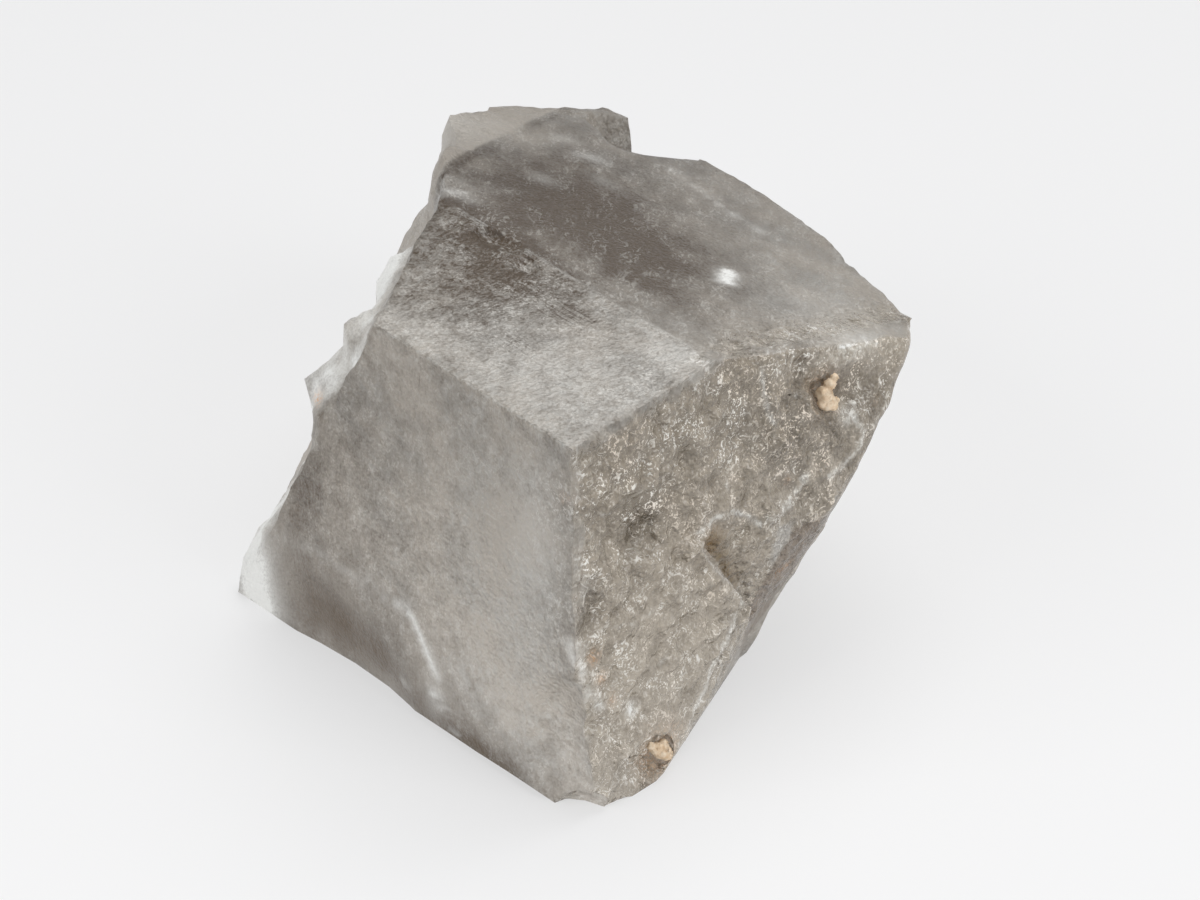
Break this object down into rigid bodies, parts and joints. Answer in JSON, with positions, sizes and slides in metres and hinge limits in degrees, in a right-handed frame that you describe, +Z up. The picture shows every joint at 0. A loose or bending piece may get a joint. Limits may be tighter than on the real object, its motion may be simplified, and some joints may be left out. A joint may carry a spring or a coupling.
{
  "type": "danburite crystal specimen",
  "caption": "Broken smoky grey danburite crystal for display: flat prism faces with sharp edges, one etched and pitted end, rough breaks elsewhere, lying on its worn lower face.",
  "frame": {"origin": "centre of the crystal's bounding box in plan, on the flat lower face it lies on", "axes": "+X along the crystal's length towards its etched end, +Y towards its broken right side, +Z up"},
  "size_m": [0.0462, 0.0392, 0.0251],
  "materials": {
    "smoky_danburite": "translucent smoky grey-beige, satin on the prism faces, etched and glittering on the end",
    "clay": "dull, crumbly peach clay"
  },
  "bodies": {
    "root": {"crystal": "smoky_danburite", "clay_crumb_upper": "clay", "clay_crumb_lower": "clay"}
  },
  "joints": []
}
